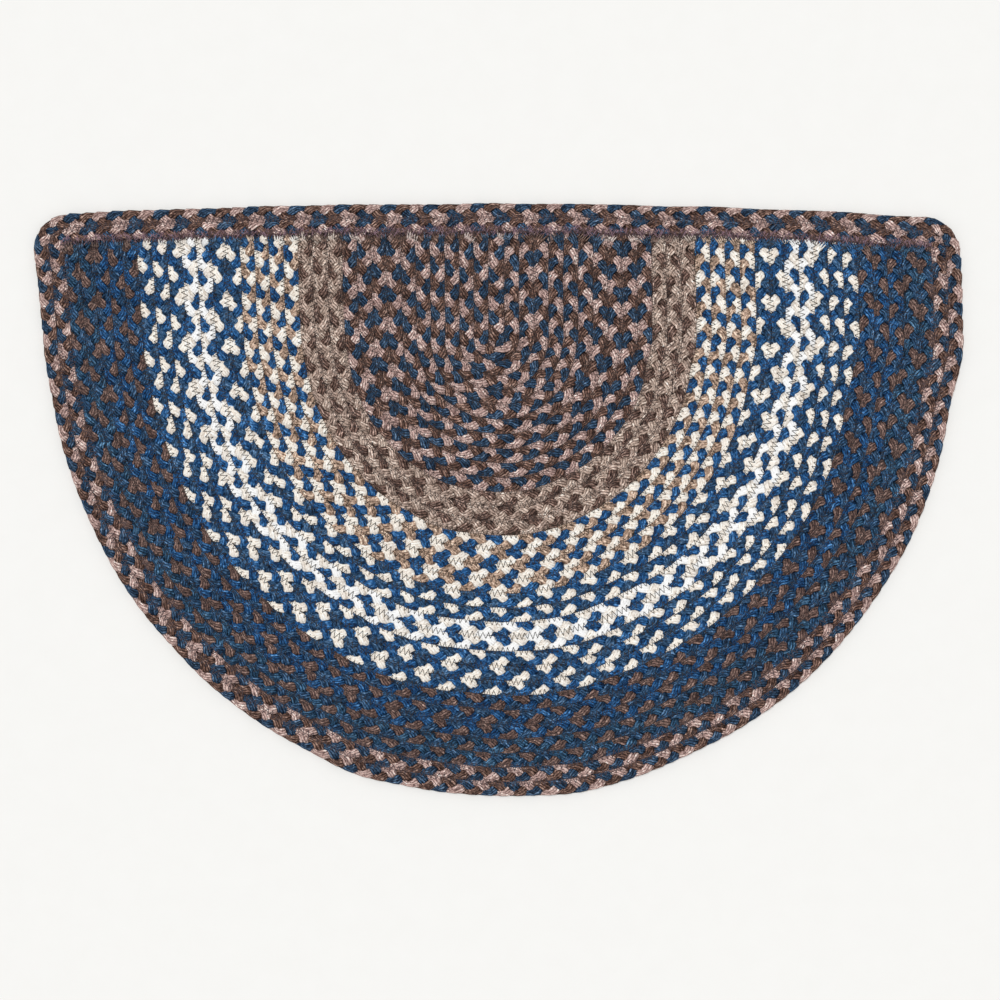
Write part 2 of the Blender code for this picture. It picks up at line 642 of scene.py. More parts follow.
class StrandRun(NamedTuple):
    """A strand's way through its braid, with one row for each ring.

    Attributes:
        path: Middle of the strand.
        right: Direction across it.
        over: Direction over it.
        half_width: Half its width.
        half_height: Half its height.
        slack: How much wider and flatter it is than that.
        travelled: Length along it.
    """

    path: np.ndarray
    right: np.ndarray
    over: np.ndarray
    half_width: np.ndarray
    half_height: np.ndarray
    slack: np.ndarray
    travelled: np.ndarray

    def from_other_end(self) -> StrandRun:
        """The same run, taken the other way."""
        return StrandRun(*(rows[::-1] for rows in self))


@dataclass(frozen=True)
class Fray:
    """How a severed strand splays into loose yarn ends.

    Attributes:
        length: Mean length of a yarn end.
        fingers: Yarn ends of one strand.
        radius: Mean radius of one.
        reach_share: Length of a yarn end that is neither long nor short, over the mean.
        reach_spread: How much shorter or longer than that it may be.
        across: Where the outermost ends spring from, over the strand's half-width.
        over: Where they spring from, over its half-height.
        fan: How far the outermost tips turn aside.
        fan_spread: How far any tip may stray aside.
        tip_spread: How far a tip may lie below or above its root.
        bend_spread: How far the middle of an end may stray aside.
        hump: How high that middle rises.
        radius_spread: Thinnest and thickest end, over the mean.
        taper: How much thinner it is at the tip.
        rings: Rings of each end's mesh.
        sides: Points round each ring.
    """

    length: float = 0.0080
    fingers: int = 5
    radius: float = 0.00072
    reach_share: float = 0.80
    reach_spread: tuple[float, float] = (-0.30, 0.28)
    across: float = 0.85
    over: float = 0.60
    fan: float = 0.0008
    fan_spread: float = 0.0008
    tip_spread: tuple[float, float] = (-0.0004, 0.0008)
    bend_spread: float = 0.0006
    hump: float = 0.0010
    radius_spread: tuple[float, float] = (0.8, 1.25)
    taper: float = 0.65
    rings: int = 6
    sides: int = 6

    def splay(self, work: Workpiece, run: StrandRun, strand: int, draw: np.random.Generator) -> None:
        """Adds the loose yarn ends of a strand where its run starts.

        Args:
            work: The mesh that they join.
            run: The strand's run, taken from the severed end.
            strand: Number of the strand.
            draw: Draws for their lie.
        """
        from_end = np.abs(run.travelled - run.travelled[0])
        root = int(np.argmin(np.abs(from_end - self.length)))
        right = run.right[root]
        rise = run.over[root] * run.half_height[root] * self.over
        outwards = unit((run.path[0] - run.path[2])[None])[0]
        outwards[2] = 0.0
        steps = np.linspace(0.0, 1.0, self.rings)[:, None]
        for across in np.linspace(-self.across, self.across, self.fingers):
            start = run.path[root] + right * across * run.half_width[root] + rise
            reach = self.length * (self.reach_share + draw.uniform(*self.reach_spread))
            fan = across * self.fan + draw.uniform(-self.fan_spread, self.fan_spread)
            tip = start + outwards * reach + right * fan
            tip[2] = start[2] + draw.uniform(*self.tip_spread)
            bend = (start + tip) / 2 + right * draw.uniform(-self.bend_spread, self.bend_spread)
            bend[2] = max(start[2], tip[2]) + self.hump
            curve = (1 - steps) ** 2 * start + 2 * steps * (1 - steps) * bend + steps**2 * tip
            radius = self.radius * draw.uniform(*self.radius_spread)
            radii = radius * (1.0 - self.taper * steps[:, 0] ** 2)
            travelled = run.travelled[root] + steps[:, 0] * reach
            work.add_tube(round_tube(curve, radii, self.sides), travelled, strand + FRAYED_MARK, False)


@dataclass
class Braid:
    """A flat three-strand braid along its lane, each strand a bundle of jute yarns.

    A strand swings from side to side once in a period. It crosses the others near the middle,
    where it lies flat and wide, and folds back at each side, where it is narrow and high.

    Attributes:
        name: Name of the piece.
        lane: The strip that it fills.
        phase: Place in the pattern at the bottom of its turn, in periods.
        seed: Seed of its unevenness.
        middle_height: Height of its middle above the floor.
        origin: Where the centre of the turns lies.
        period: Length of one full turn of the braid.
        rings_per_period: Rings of a strand's mesh in it.
        lane_half_width: Half the width of a lane that the other sizes are meant for.
        swing: How far a strand's middle swings aside.
        lift: How far it moves up and down as it goes over and under.
        bite: How flat its swings are at the sides.
        haste: How unevenly it swings, quicker over one part of a period than over another.
        haste_lead: Where in the period it is quicker, as an angle.
        lead: How far its rise runs ahead of its swing, as an angle.
        snap: How suddenly it changes between over and under.
        fold_rise: How much higher it lies in its folds.
        fold_sharpness: How short its folds are against its crossings; an even number.
        crossing_half_width: Half its width where it crosses.
        crossing_half_height: Half its height there.
        folded_half_width: Half its width in a fold.
        folded_half_height: Half its height there.
        swell: How much wider it is between the two.
        roll: How far it rolls to the side as it folds, as an angle.
        press_from: How far from the lane's middle the next braid starts to press on it.
        press_depth: How far into the next lane it may stand at most.
        shown_at: Turns from its place at the bottom of a fold to where the pattern is counted.
        slip: Drift of its pattern along the lane.
        sway: Drift of its swing.
        bob: Drift of its height.
        slack: Drift of its width against its height.
        map_shift: How far each strand's yarn map is moved on from the one before.
        sink: How far it sinks at a severed end.
        end_flatness: How much flatter it is there.
        fray: How its strands splay there.
        gained: Periods that the pattern has gained at places of the lane.
        section: Section of its strands.
        strand_length: Mean length of its strands, known once it is built.
    """

    name: str
    lane: Lane
    phase: float
    seed: int
    middle_height: float
    origin: np.ndarray
    period: float = 0.0373
    rings_per_period: int = 12
    lane_half_width: float = 0.00578
    swing: float = 0.0041
    lift: float = 0.00185
    bite: float = 0.03
    haste: float = 0.13
    haste_lead: float = 1.75
    lead: float = 0.50
    snap: float = 1.7
    fold_rise: float = 0.0003
    fold_sharpness: int = 6
    crossing_half_width: float = 0.0040
    crossing_half_height: float = 0.00172
    folded_half_width: float = 0.0024
    folded_half_height: float = 0.0023
    swell: float = 0.0006
    roll: float = 0.40
    press_from: float = 0.0052
    press_depth: float = 0.0007
    shown_at: float = 3 / 8
    slip: Drift = Drift(1.7, 0.035)
    sway: Drift = Drift(1.3, 0.03)
    bob: Drift = Drift(1.1, 0.00012)
    slack: Drift = Drift(0.9, 0.045)
    map_shift: float = 0.31
    sink: float = 0.0022
    end_flatness: float = 0.15
    fray: Fray = Fray()
    gained: dict[Place, float] = field(default_factory=dict)
    section: StrandSection = StrandSection()
    strand_length: float = 0.0

    def build(self, material: bpy.types.Material) -> bpy.types.Object:
        """Makes the braid's piece.

        Args:
            material: The jute it is braided from.

        Returns:
            The new object.
        """
        rings = self._rings()
        work, feel = Workpiece(), HandFeel(self.seed)
        lengths = []
        for strand in range(STRANDS):
            run = self._run(rings, strand, feel)
            self._sweep(work, rings, run, strand)
            for style, cut_run in ((self.lane.start, run), (self.lane.end, run.from_other_end())):
                if style is EndStyle.FRAYED:
                    self.fray.splay(work, cut_run, strand, feel.draw)
            lengths.append(float(np.linalg.norm(np.diff(run.path, axis=0), axis=1).sum()))
        self.strand_length = sum(lengths) / len(lengths)
        return work.finish(self.name, material)

    def _rings(self) -> BraidRings:
        """Spaces the braid's rings out along its lane.

        Returns:
            The rings, with the lane's place and width at each.
        """
        travelled = self.lane.travelled()
        length = float(travelled[-1])
        period = length / round(length / self.period) if self.lane.joined else self.period
        along = np.linspace(0.0, length, round(length / period * self.rings_per_period) + 1)
        if self.lane.joined:
            along = along[:-1]
        datum = travelled[self.lane.places[Place.BOTTOM]] + self.phase * period
        passed = (along - datum) / period + self._gained(along, travelled)
        middle, half = self.lane.at(along)
        half_width = np.linalg.norm(half, axis=1)
        return BraidRings(along, length, period, passed, middle, half / half_width[:, None],
                          half_width / self.lane_half_width)

    def _gained(self, along: np.ndarray, travelled: np.ndarray) -> np.ndarray:
        """Periods that the pattern has gained by each length, over those of an even braid.

        Args:
            along: Lengths along the lane.
            travelled: Length up to each of the lane's own points.

        Returns:
            The gain at each length.
        """
        if not self.gained:
            return np.zeros_like(along)
        places = [travelled[self.lane.places[place]] for place in self.gained]
        gains = list(self.gained.values())
        if self.lane.joined:
            places.append(travelled[-1])
            gains.append(float(round(gains[-1])))
        return np.interp(along, places, gains)

    def _run(self, rings: BraidRings, strand: int, feel: HandFeel) -> StrandRun:
        """Leads one strand through the braid.

        Args:
            rings: The braid's rings.
            strand: Number of the strand, 0 to 2.
            feel: Draws for its unevenness.

        Returns:
            Its run, from the lane's start to its end.
        """
        span = rings.along, rings.length, rings.period
        slip = feel.wander(self.slip, *span)
        turn = TURN * (rings.passed - strand / STRANDS + self.shown_at + slip)
        swing = self.swing * (1.0 + feel.wander(self.sway, *span))
        hasty = turn + self.haste * np.sin(2 * turn + self.haste_lead)
        sideways = swing * (np.sin(hasty) + self.bite * np.sin(3 * hasty)) / (1.0 - self.bite)
        folded = np.sin(hasty) ** self.fold_sharpness
        over_under = np.tanh(-self.snap * np.sin(2 * turn + self.lead)) / math.tanh(self.snap)
        height = self.middle_height + self.lift * over_under + self.fold_rise * folded
        height += feel.wander(self.bob, *span)
        slack = 1.0 + feel.wander(self.slack, *span)
        half_width = between(self.crossing_half_width, self.folded_half_width, folded)
        half_width += self.swell * np.sin(2 * turn) ** 2
        half_height = between(self.crossing_half_height, self.folded_half_height, folded)
        ends = self._end_nearness(rings)
        height -= self.sink * ends
        half_height *= 1.0 - self.end_flatness * ends
        aside = rings.outward * (sideways * rings.pitch)[:, None]
        path = np.column_stack([rings.middle + aside + self.origin, height])
        if self.lane.joined:
            ahead = np.roll(path, -1, axis=0) - np.roll(path, 1, axis=0)
        else:
            ahead = np.gradient(path, axis=0)
        ahead = unit(ahead)
        up = unit(UP - ahead * ahead[:, 2:])
        side = np.cross(ahead, up)
        roll = self.roll * np.sin(turn) * np.sin(2 * turn)
        right = side * np.cos(roll)[:, None] + up * np.sin(roll)[:, None]
        over = up * np.cos(roll)[:, None] - side * np.sin(roll)[:, None]
        travelled = lengths_along(path) + strand * self.map_shift
        return StrandRun(path, right, over, half_width, half_height, slack, travelled)

    def _end_nearness(self, rings: BraidRings) -> np.ndarray:
        """How near each ring is to a severed end.

        Args:
            rings: The braid's rings.

        Returns:
            1 at a severed end, less over the length that frays there, and 0 elsewhere.
        """
        near = np.zeros_like(rings.along)
        from_ends = (self.lane.start, rings.along), (self.lane.end, rings.length - rings.along)
        for style, distance in from_ends:
            if style is EndStyle.FRAYED:
                near = np.maximum(near, 1.0 - distance / self.fray.length)
        return np.clip(near, 0.0, 1.0)

    def _sweep(self, work: Workpiece, rings: BraidRings, run: StrandRun, strand: int) -> None:
        """Sweeps the strand's section along its run.

        Args:
            work: The mesh that it joins.
            rings: The braid's rings.
            run: The strand's run.
            strand: Number of the strand.
        """
        across, over = self.section.points().T
        width = (run.half_width * run.slack * rings.pitch)[:, None]
        spread = run.right[:, None] * (across[None, :] * width)[..., None]
        rise = run.over[:, None] * (over[None, :] * (run.half_height / run.slack)[:, None])[..., None]
        points = run.path[:, None] + spread + rise
        self._press(points, rings)
        work.add_tube(points, run.travelled, strand, self.lane.joined)

    def _press(self, points: np.ndarray, rings: BraidRings) -> None:
        """Presses a strand against the neighbouring braids and the floor.

        Args:
            points: Its points by ring and place round it, moved in place.
            rings: The braid's rings.
        """
        middle = (rings.middle + self.origin)[:, None]
        aside = np.einsum("rpk,rk->rp", points[..., :2] - middle, rings.outward)
        past = np.maximum(np.abs(aside) - (self.press_from * rings.pitch)[:, None], 0.0)
        back = past - self.press_depth * np.tanh(past / self.press_depth)
        points[..., :2] -= rings.outward[:, None] * (np.sign(aside) * back)[..., None]
        points[..., 2] = np.maximum(points[..., 2], 0.0)


# ------------------------------------------------------------------ sewing


@dataclass
class Surface:
    """Height of the finished braids, for stitches to lie on.

    Attributes:
        tree: The braids' faces.
        fallback: Height where there is no braid.
        above: Height from which it is felt for.
    """

    tree: BVHTree
    fallback: float
    above: float = 0.05

    @classmethod
    def over(cls, pieces: list[bpy.types.Object], fallback: float) -> Surface:
        """Surface over all the given pieces together.

        Args:
            pieces: The pieces.
            fallback: Height where there is none of them.

        Returns:
            The surface.
        """
        verts: list[Vector] = []
        faces: list[list[int]] = []
        for piece in pieces:
            first = len(verts)
            verts.extend(vert.co.copy() for vert in piece.data.vertices)
            faces.extend([first + number for number in face.vertices] for face in piece.data.polygons)
        return cls(BVHTree.FromPolygons(verts, faces), fallback)

    def height(self, x: float, y: float) -> float:
        """Height of the surface at a place."""
        hit = self.tree.ray_cast(Vector((x, y, self.above)), Vector(-UP))[0]
        return hit.z if hit is not None else self.fallback


@dataclass
class Stitching:
    """Zigzag stitches over seams, each leg of the thread its own short piece of thread.

    Attributes:
        name: Name of the piece.
        seed: Seed of its unevenness.
        pitch: Length along the seam of one zig and zag.
        reach: How far its holes lie from the seam.
        radius: Radius of the thread.
        sides: Points round its mesh.
        points_per_leg: Points along each leg.
        proud: How high it lies over the yarns.
        probes: How often the yarns under a leg are felt for.
        place_spread: How far a hole strays along the seam, over half the pitch.
        reach_spread: How much nearer or farther it may lie, over the reach.
        slow_waves: How long the slow swings of the whole zigzag are.
        slow_size: How far they take it aside.
    """

    name: str
    seed: int
    pitch: float = 0.0041
    reach: float = 0.0028
    radius: float = 0.00025
    sides: int = 3
    points_per_leg: int = 4
    proud: float = 0.00018
    probes: int = 10
    place_spread: float = 0.22
    reach_spread: tuple[float, float] = (-0.24, 0.16)
    slow_waves: tuple[float, float] = (0.037, 0.061)
    slow_size: float = 0.0005
    work: Workpiece = field(default_factory=Workpiece)

    def sew(self, seam: np.ndarray, origin: np.ndarray, surface: Surface) -> None:
        """Zigzags along a seam.

        Args:
            seam: Points of the seam, measured from the centre of the turns.
            origin: Where the centre of the turns lies.
            surface: The braids that the thread lies on.
        """
        start_in_micrometres = int(abs(seam[0, 0]) * 1e6)
        draw = np.random.default_rng([self.seed, len(seam), start_in_micrometres])
        travelled = lengths_along(seam)
        count = int(travelled[-1] / (self.pitch / 2)) + 1
        place = np.arange(count) + draw.uniform(-self.place_spread, self.place_spread, count)
        place = np.clip(place * self.pitch / 2, 0.0, travelled[-1])
        slow = sum(np.sin(place / wave + draw.uniform(0, TURN)) for wave in self.slow_waves)
        at = points_at(place, travelled, seam)
        ahead = unit(np.gradient(at, axis=0))
        aside = np.column_stack([ahead[:, 1], -ahead[:, 0]])
        swing = np.where(np.arange(count) % 2 == 0, self.reach, -self.reach)
        swing *= 1.0 + draw.uniform(*self.reach_spread, count)
        holes = at + aside * (swing + self.slow_size * slow)[:, None] + origin
        for near, far in zip(holes, holes[1:]):
            self._leg(near, far, surface)

    def _leg(self, near: np.ndarray, far: np.ndarray, surface: Surface) -> None:
        """Adds one leg of the zigzag, which rides over all the yarns that it crosses.

        Args:
            near: Its first hole.
            far: Its second hole.
            surface: The braids that it lies on.
        """
        probed = np.linspace(0.0, 1.0, self.probes)
        heights = np.array([surface.height(x, y) for x, y in near + (far - near) * probed[:, None]])
        kept = np.linspace(0.0, 1.0, self.points_per_leg)
        points = []
        for share in kept:
            close = np.abs(probed - share) <= kept[1] / 2
            points.append((*(near + (far - near) * share), heights[close].max() + self.proud))
        rings = round_tube(np.array(points), np.full(len(points), self.radius), self.sides)
        self.work.add_tube(rings, kept * STITCH_ON_MAP, 0.0, False)

    def build(self, material: bpy.types.Material) -> bpy.types.Object:
        """Makes the piece of all the stitches sewn so far."""
        return self.work.finish(self.name, material)


@dataclass
class EndBinding:
    """Dense plum stitching over the severed ends, just under the edge braids.

    Attributes:
        outline: The mat's seams.
        name: Name of the piece.
        seed: Seed of its unevenness.
        passes: How often the needle goes along the cut.
        spacing: Distance between two stitches of a pass.
        tilt: How far a stitch leans aside, one way and the other in turn.
        tilt_spread: How much more or less it may lean.
        above_cut: How far above the cut its upper hole lies.
        above_spread: How much lower or higher it may lie.
        below_cut: How far below the cut its lower hole lies.
        below_spread: The same for that one.
        radius: Radius of the thread.
        sides: Points round its mesh.
        shares: Where its points lie, over its length.
        hole_depth: How deep its ends are sunk.
        lift_spread: How far below or above the braids its middle may lie.
    """

    outline: MatOutline
    name: str = "end_binding"
    seed: int = 97
    passes: int = 3
    spacing: float = 0.0012
    tilt: float = 0.0020
    tilt_spread: float = 0.0016
    above_cut: float = 0.0058
    above_spread: tuple[float, float] = (-0.0036, 0.0008)
    below_cut: float = 0.0030
    below_spread: tuple[float, float] = (-0.0012, 0.0030)
    radius: float = 0.00036
    sides: int = 3
    shares: tuple[float, ...] = (0.0, 0.35, 0.7, 1.0)
    hole_depth: float = 0.0004
    lift_spread: tuple[float, float] = (-0.0005, 0.0003)
    work: Workpiece = field(default_factory=Workpiece)

    def build(self, material: bpy.types.Material, origin: np.ndarray,
              surface: Surface) -> bpy.types.Object:
        """Lays the stitches and makes the piece.

        Args:
            material: The thread's finish.
            origin: Where the centre of the turns lies.
            surface: The braids that the thread lies on.

        Returns:
            The new object.
        """
        draw = np.random.default_rng(self.seed)
        left = -self.outline.seam_reach(self.outline.cut_reach_left, self.outline.row_count)
        right = self.outline.seam_reach(self.outline.cut_reach_right, self.outline.row_count)
        for number in range(self.passes):
            slant = self.tilt if number % 2 == 0 else -self.tilt
            for x in np.arange(left, right, self.spacing):
                cut = float(self.outline.cut_height(x))
                top = cut + self.above_cut + draw.uniform(*self.above_spread)
                low = cut - self.below_cut + draw.uniform(*self.below_spread)
                shift = slant + draw.uniform(-self.tilt_spread, self.tilt_spread)
                start, end = np.array(((x + shift, top), (x - shift, low))) + origin
                self._stitch(start, end, surface, draw)
        return self.work.finish(self.name, material)

    def _stitch(self, start: np.ndarray, end: np.ndarray, surface: Surface,
                draw: np.random.Generator) -> None:
        """Adds one stitch that follows the braids between its two holes.

        Args:
            start: Its upper hole.
            end: Its lower hole.
            surface: The braids that it lies on.
            draw: Draws for its lie.
        """
        lift = draw.uniform(*self.lift_spread)
        points = []
        for share in self.shares:
            x, y = start + (end - start) * share
            raised = -self.hole_depth if share in (0.0, 1.0) else lift
            points.append((x, y, surface.height(x, y) + raised))
        rings = round_tube(np.array(points), np.full(len(points), self.radius), self.sides)
        on_map = np.linspace(0.0, STITCH_ON_MAP, len(points))
        self.work.add_tube(rings, on_map, draw.uniform(0.0, 1.0), False)


# ------------------------------------------------------------------ finishes


class Mottle(NamedTuple):
    """A smooth random pattern: its scale, how much finer detail it has and how strong that is."""

    scale: float
    detail: float
    roughness: float


class Wire:
    """A socket whose sums, products and powers add Math nodes."""

    def __init__(self, bench: Bench, socket: bpy.types.NodeSocket) -> None:
        """Wraps an output socket of a bench's node tree."""
        self.bench = bench
        self.socket = socket

    def _math(self, operation: str, first: Wire | float, second: Wire | float) -> Wire:
        """Output of a Math node on two values."""
        settings, sockets = {"operation": operation}, {0: first, 1: second}
        return self.bench.node("ShaderNodeMath", settings, sockets).out("Value")

    def __add__(self, other: Wire | float) -> Wire:
        """Sum with a wire or number."""
        return self._math("ADD", self, other)

    def __radd__(self, other: float) -> Wire:
        """Sum with a number on the left."""
        return self._math("ADD", other, self)

    def __sub__(self, other: Wire | float) -> Wire:
        """Difference from a wire or number."""
        return self._math("SUBTRACT", self, other)

    def __rsub__(self, other: float) -> Wire:
        """Difference from a number on the left."""
        return self._math("SUBTRACT", other, self)

    def __mul__(self, other: Wire | float) -> Wire:
        """Product with a wire or number."""
        return self._math("MULTIPLY", self, other)

    def __rmul__(self, other: float) -> Wire:
        """Product with a number on the left."""
        return self._math("MULTIPLY", other, self)

    def __pow__(self, other: float) -> Wire:
        """Power of a number."""
        return self._math("POWER", self, other)

    def __rpow__(self, other: float) -> Wire:
        """A number to the power of the wire."""
        return self._math("POWER", other, self)

    def __gt__(self, other: float) -> Wire:
        """1 where the wire is above a number, else 0."""
        return self._math("GREATER_THAN", self, other)

    def one(self, operation: str) -> Wire:
        """Output of a Math node that takes one value, such as FRACT or ABSOLUTE."""
        return self._math(operation, self, 0.0)

    def ridges(self) -> Wire:
        """0 in the middle of each whole step of the wire, rising to 1 at its ends."""
        return (self.one("FRACT") - 0.5).one("ABSOLUTE") * 2.0


class Station:
    """A node just made, and a short way to its outputs."""

    def __init__(self, bench: Bench, node: bpy.types.Node) -> None:
        """Wraps a node of a bench's tree."""
        self.bench = bench
        self.node = node

    def out(self, name: str) -> Wire:
        """The output with that name."""
        return Wire(self.bench, self.node.outputs[name])


class Bench:
    """One material's node tree, to which every node is added in the same way."""

    def __init__(self, name: str) -> None:
        """Starts an empty material with its output node.

        Args:
            name: Name of the material.
        """
        self.material = bpy.data.materials.new(name)
        self.material.use_nodes = True
        self.tree = self.material.node_tree
        self.tree.nodes.clear()
        self.output = self.tree.nodes.new("ShaderNodeOutputMaterial")

    def node(self, kind: str, settings: dict | None = None, sockets: dict | None = None) -> Station:
        """Adds a node.

        Args:
            kind: The node's type.
            settings: Its properties, set first.
            sockets: Values or wires for its inputs, by name or number.

        Returns:
            The node, wrapped.
        """
        node = self.tree.nodes.new(kind)
        for key, value in (settings or {}).items():
            setattr(node, key, value)
        for key, value in (sockets or {}).items():
            self._feed(node.inputs[key], value)
        return Station(self, node)

    def _feed(self, socket: bpy.types.NodeSocket, value: Wire | float | tuple) -> None:
        """Links a wire to a socket, or sets the socket's value.

        Args:
            socket: An input.
            value: What it is to have.
        """
        if isinstance(value, Wire):
            self.tree.links.new(value.socket, socket)
        else:
            socket.default_value = value

    def mix(self, factor: Wire | float, first: Wire | tuple, second: Wire | tuple) -> Wire:
        """Mixes two colours.

        Args:
            factor: Share of the second one.
            first: A colour.
            second: Another.

        Returns:
            The mixed colour.
        """
        node = self.node("ShaderNodeMix", {"data_type": "RGBA", "clamp_factor": True}).node
        values = {"Factor_Float": factor, "A_Color": first, "B_Color": second}
        for socket in node.inputs:
            if socket.identifier in values:
                self._feed(socket, values[socket.identifier])
        return Wire(self, next(s for s in node.outputs if s.identifier == "Result_Color"))

    def scaled(self, colour: Wire, by: Wire | float) -> Wire:
        """A colour with its brightness multiplied by a value."""
        sockets = {0: colour, "Scale": by}
        return self.node("ShaderNodeVectorMath", {"operation": "SCALE"}, sockets).out("Vector")

    def noise(self, place: Wire, mottle: Mottle) -> Wire:
        """A smooth random value, about 0.5.

        Args:
            place: Where it is wanted.
            mottle: The pattern that it comes from.

        Returns:
            The value.
        """
        sockets = {"Vector": place, "Scale": mottle.scale, "Detail": mottle.detail}
        sockets["Roughness"] = mottle.roughness
        return self.node("ShaderNodeTexNoise", {"noise_dimensions": "3D"}, sockets).out("Fac")

    def vector(self, x: Wire | float, y: Wire | float, z: Wire | float) -> Wire:
        """A point from three values."""
        return self.node("ShaderNodeCombineXYZ", None, {0: x, 1: y, 2: z}).out("Vector")

    def surface(self, sockets: dict) -> bpy.types.Material:
        """Ends the material in a Principled surface.

        Args:
            sockets: The surface's values and wires, by name.

        Returns:
            The finished material.
        """
        shader = self.node("ShaderNodeBsdfPrincipled", None, sockets).out("BSDF")
        self.tree.links.new(shader.socket, self.output.inputs["Surface"])
        return self.material


class Colour(NamedTuple):
    """A linear colour."""

    red: float
    green: float
    blue: float

    @classmethod
    def screen(cls, red: int, green: int, blue: int) -> Colour:
        """Makes a colour from its values on a screen, by their usual curve.

        Args:
            red: Its red, 0 to 255.
            green: Its green.
            blue: Its blue.

        Returns:
            The linear colour.
        """
        shares = (value / 255 for value in (red, green, blue))
        return cls(*(s / 12.92 if s <= 0.04045 else ((s + 0.055) / 1.055) ** 2.4 for s in shares))

    def opaque(self) -> tuple[float, float, float, float]:
        """The colour with full alpha."""
        return (*self, 1.0)


@dataclass(frozen=True)
class Dye:
    """How one strand is dyed.

    Attributes:
        shade: Its main colour.
        flecks: Colour of the paler fibres that show in it.
        deep: Colour of the darker fibres.
        fleck_share: How much of it the paler fibres take, 0 to 1.
        unevenness: How much its brightness varies from fibre to fibre.
    """

    shade: Colour
    flecks: Colour
    deep: Colour
    fleck_share: float = 0.6
    unevenness: float = 1.0

    @classmethod
    def screen(cls, shade: tuple[int, int, int], flecks: tuple[int, int, int],
               deep: tuple[int, int, int], **shares: float) -> Dye:
        """Makes a dye from colours as they are on a screen.

        Args:
            shade: Red, green and blue of its main colour.
            flecks: Those of its paler fibres.
            deep: Those of its darker fibres.
            **shares: Its fleck share and unevenness, where they aren't the usual ones.

        Returns:
            The dye.
        """
        return cls(*(Colour.screen(*colour) for colour in (shade, flecks, deep)), **shares)


PINK = Dye.screen((198, 166, 158), (250, 232, 222), (116, 84, 80), fleck_share=0.65, unevenness=0.66)
SLATE_BLUE = Dye.screen((46, 74, 103), (100, 118, 138), (27, 37, 58), unevenness=0.9)
BROWN = Dye.screen((115, 86, 75), (158, 134, 122), (62, 42, 38), unevenness=0.95)
COCOA = Dye.screen((114, 90, 83), (150, 128, 118), (58, 42, 44), unevenness=0.95)
PALE_TAUPE = Dye.screen((199, 175, 160), (244, 230, 218), (128, 104, 92), unevenness=0.65)
TAUPE = Dye.screen((187, 162, 148), (232, 214, 202), (112, 88, 78), unevenness=0.7)
DARK_TAUPE = Dye.screen((120, 94, 84), (166, 144, 134), (66, 44, 38), unevenness=0.95)
CREAM = Dye.screen((251, 242, 230), (255, 253, 247), (232, 216, 200), unevenness=0.3)
TAN = Dye.screen((182, 154, 134), (222, 200, 182), (106, 80, 64), unevenness=0.8)
WHITE = Dye.screen((255, 255, 254), (255, 255, 254), (240, 240, 240), unevenness=0.16)
OFF_WHITE = Dye.screen((248, 240, 230), (255, 250, 243), (222, 208, 192), unevenness=0.28)
BLUE = Dye.screen((31, 81, 131), (84, 122, 158), (18, 39, 76), unevenness=0.95)
NAVY = Dye.screen((43, 77, 111), (92, 117, 143), (24, 41, 66))
TEAL_NAVY = Dye.screen((44, 80, 111), (88, 118, 141), (24, 43, 64))


class Grain(NamedTuple):
    """A random pattern along the yarns.

    Attributes:
        along: How quickly it changes along a yarn.
        around: How quickly it changes round the strand.
        strand: How differently it falls on each strand.
        detail: How much finer detail it has.
        roughness: How strong that detail is.
        octaves: How many times it doubles the brightness from its darkest to its palest.
    """

    along: float
    around: float
    strand: float
    detail: float
    roughness: float
    octaves: float

    def at(self, bench: Bench, along: Wire, around: Wire, strand: Wire | float) -> Wire:
        """Adds the pattern to a bench.

        Args:
            bench: The material's bench.
            along: Length along the strand.
            around: Way round it, or the yarn that it lies on.
            strand: Number of the strand.

        Returns:
            The pattern's value, about 0.
        """
        place = bench.vector(along * self.along, around * self.around, strand * self.strand)
        return bench.noise(place, Mottle(1.0, self.detail, self.roughness)) - 0.5


